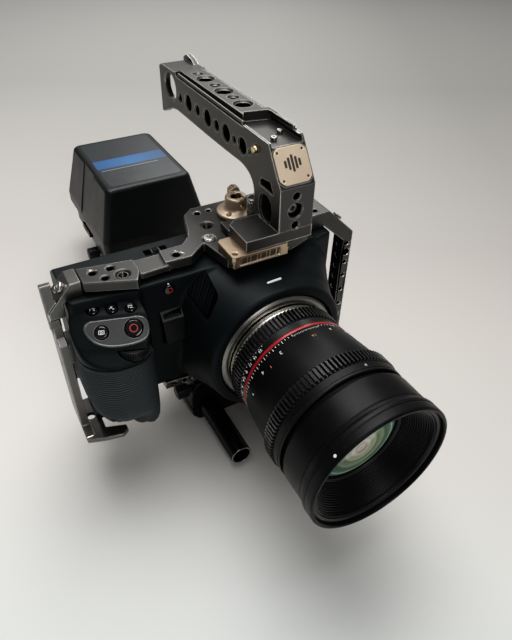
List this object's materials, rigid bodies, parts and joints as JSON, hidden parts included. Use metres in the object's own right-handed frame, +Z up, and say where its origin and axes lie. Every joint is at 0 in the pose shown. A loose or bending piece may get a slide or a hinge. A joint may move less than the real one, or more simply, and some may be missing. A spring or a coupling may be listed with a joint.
{
  "type": "cinema camera rig",
  "caption": "Caged cinema camera with a grip, geared cine lens, top handle on a short rail, accessory holder and a battery lying on a rod-mounted plate behind.",
  "frame": {"origin": "middle of the rod base's underside", "axes": "+Z up, lens looks along -Y, rods run along Y, grip on the -X side"},
  "size_m": [0.2021, 0.4286, 0.2146],
  "materials": {
    "cage": "dark gunmetal anodised aluminium, fine blasted grain, bright worn edges",
    "bronze": "pale bronze anodised aluminium, fine brushed grain, bright chamfers",
    "holder": "warm bronze anodised aluminium with turned grooves",
    "body_shell": "near-black fine spark-eroded polycarbonate with a blue-grey cast",
    "grip_rubber": "fine wavy ribbed rubber",
    "button": null,
    "record_button": "glossy black with a thin red ring",
    "lens_barrel": "satin black anodised, pale scale marks, one red line",
    "lens_gear": "satin black, gear teeth",
    "baffle": "matt black, stepped anti-reflection grooves",
    "glass": "coated front element, green to brown reflections",
    "mount_ring": "polished ring",
    "steel": "plated steel fasteners",
    "screen_glass": "black display glass",
    "rod_black": "satin black anodised tube",
    "plate_black": "black anodised plate, fine grain",
    "battery_case": "textured dark case with a plain blue band and no lettering",
    "board": "green circuit board",
    "heat_metal": "finned aluminium",
    "fan_plastic": "black plastic fan",
    "brass": "turned brass pin"
  },
  "bodies": {
    "rig": {"lens_rear_barrel": "lens_barrel", "front_barrel": "lens_barrel", "lens_baffle": "baffle", "front_glass": "glass", "rear_glass": "glass", "body_front": "body_shell", "grip_cover": "grip_rubber", "side_vent": "body_shell", "lens_mount": "mount_ring", "body_rear": "body_shell", "screen": "screen_glass", "camera_cell": "battery_case", "image_sensor": "screen_glass", "main_board": "board", "heat_sink": "heat_metal", "cage_top": "cage", "top_disc_screw": "steel", "cage_grip_side": "cage", "corner_bolt_grip_side": "steel", "cage_far_side": "cage", "corner_bolt_far_side": "steel", "cage_bottom": "cage", "accessory_rail": "bronze", "accessory_holder": "holder", "rod_base": "plate_black", "rod_grip_side": "rod_black", "rod_far_side": "rod_black", "rod_clamp_screw": "steel"},
    "focus": {"focus_ring": "lens_gear"},
    "aperture": {"aperture_ring": "lens_gear"},
    "iris": {"iris_ring": "baffle"},
    "dial": {"control_wheel": "button"},
    "iso": {"iso_button": "button"},
    "shutter_angle": {"shutter_button": "button"},
    "white_balance": {"white_balance_button": "button"},
    "record": {"record_button": "record_button"},
    "stills": {"stills_button": "button"},
    "front_record": {"front_record_button": "record_button"},
    "lens_lock": {"lens_release": "button"},
    "menu": {"menu_button": "button"},
    "power": {"power_switch": "button"},
    "door": {"battery_door": "body_shell"},
    "port_flap": {"port_cover": "grip_rubber"},
    "fan": {"cooling_fan": "fan_plastic"},
    "handle": {"handle_frame": "cage", "handle_cover_plate": "bronze", "shoe_screw_front": "steel", "shoe_screw_rear": "steel", "handle_clamp_jaw": "cage"},
    "pin": {"handle_pin": "brass"},
    "tool": {"hex_key": "steel"},
    "handle_knob": {"handle_clamp_knob": "cage"},
    "holder_knob": {"holder_thumb_screw": "holder"},
    "base_knob": {"base_clamp_knob": "button"},
    "bracket": {"rod_bracket": "plate_black", "battery_plate": "plate_black"},
    "bracket_clamp": {"bracket_knob": "button"},
    "battery_lock": {"battery_lock_button": "button"},
    "battery": {"battery": "battery_case", "battery_shoe": "battery_case"}
  },
  "joints": [
    {"name": "focus_turn", "type": "hinge", "parent": "rig", "child": "focus", "pos_m": [-0.0025, -0.136, 0.096], "axis": [0, 1, 0], "range_deg": [-60, 140]},
    {"name": "aperture_turn", "type": "hinge", "parent": "rig", "child": "aperture", "pos_m": [-0.0025, -0.088, 0.096], "axis": [0, 1, 0], "range_deg": [-20, 50]},
    {"name": "iris_turn", "type": "hinge", "parent": "rig", "child": "iris", "pos_m": [-0.0025, -0.117, 0.096], "axis": [0, 1, 0], "range_deg": [-20, 50]},
    {"name": "dial_turn", "type": "hinge", "parent": "rig", "child": "dial", "pos_m": [-0.0848, -0.0568, 0.1178], "axis": [0, 0, 1], "continuous": true},
    {"name": "iso_press", "type": "slide", "parent": "rig", "child": "iso", "axis": [0.0735, 0.202, -0.9766], "range_m": [0, 0.0007]},
    {"name": "shutter_press", "type": "slide", "parent": "rig", "child": "shutter_angle", "axis": [0.0735, 0.202, -0.9766], "range_m": [0, 0.0007]},
    {"name": "white_balance_press", "type": "slide", "parent": "rig", "child": "white_balance", "axis": [0.0735, 0.202, -0.9766], "range_m": [0, 0.0007]},
    {"name": "record_press", "type": "slide", "parent": "rig", "child": "record", "axis": [0.2342, 0.6435, -0.7288], "range_m": [0, 0.0009]},
    {"name": "stills_press", "type": "slide", "parent": "rig", "child": "stills", "axis": [0.2342, 0.6435, -0.7288], "range_m": [0, 0.0007]},
    {"name": "front_record_press", "type": "slide", "parent": "rig", "child": "front_record", "axis": [0, 1, 0], "range_m": [0, 0.0008]},
    {"name": "lens_lock_press", "type": "slide", "parent": "rig", "child": "lens_lock", "axis": [0, 1, 0], "range_m": [0, 0.0012]},
    {"name": "menu_press", "type": "slide", "parent": "rig", "child": "menu", "axis": [0, -1, 0], "range_m": [0, 0.0009]},
    {"name": "power_slide", "type": "slide", "parent": "rig", "child": "power", "axis": [1, 0, 0], "range_m": [-0.002, 0.002]},
    {"name": "door_swing", "type": "hinge", "parent": "rig", "child": "door", "pos_m": [-0.0935, -0.0185, 0.0507], "axis": [1, 0, 0], "range_deg": [0, 95]},
    {"name": "port_flap_swing", "type": "hinge", "parent": "rig", "child": "port_flap", "pos_m": [0.0698, 0.0097, 0.096], "axis": [0, 0, 1], "range_deg": [0, 100]},
    {"name": "fan_spin", "type": "hinge", "parent": "rig", "child": "fan", "pos_m": [0.0025, 0.005, 0.097], "axis": [0, 1, 0], "continuous": true},
    {"name": "handle_slide", "type": "slide", "parent": "rig", "child": "handle", "axis": [1, 0, 0], "range_m": [-0.012, 0.006]},
    {"name": "pin_press", "type": "slide", "parent": "handle", "child": "pin", "axis": [1, 0, 0], "range_m": [0, 0.001]},
    {"name": "tool_out", "type": "slide", "parent": "handle", "child": "tool", "axis": [-1, 0, 0], "range_m": [0, 0.006]},
    {"name": "handle_knob_turn", "type": "hinge", "parent": "handle", "child": "handle_knob", "pos_m": [0.0077, -0.0231, 0.164], "axis": [0, 0, 1], "range_deg": [-180, 180]},
    {"name": "holder_knob_turn", "type": "hinge", "parent": "rig", "child": "holder_knob", "pos_m": [0.0082, 0.004, 0.162], "axis": [0, 1, 0], "range_deg": [-180, 180]},
    {"name": "base_knob_turn", "type": "hinge", "parent": "rig", "child": "base_knob", "pos_m": [-0.0475, -0.0225, 0.03], "axis": [1, 0, 0], "range_deg": [-180, 180]},
    {"name": "bracket_slide", "type": "slide", "parent": "rig", "child": "bracket", "axis": [0, 1, 0], "range_m": [-0.06, 0.01]},
    {"name": "bracket_clamp_turn", "type": "hinge", "parent": "bracket", "child": "bracket_clamp", "pos_m": [-0.0495, 0.186, 0.0234], "axis": [1, 0, 0], "range_deg": [-180, 180]},
    {"name": "battery_lock_press", "type": "slide", "parent": "bracket", "child": "battery_lock", "axis": [1, 0, 0], "range_m": [0, 0.002]},
    {"name": "battery_slide", "type": "slide", "parent": "bracket", "child": "battery", "axis": [0, 1, 0], "range_m": [0, 0.025]}
  ],
  "couplings": [
    {"joint": "iris_turn", "follows": "aperture_turn", "ratio": 1}
  ]
}
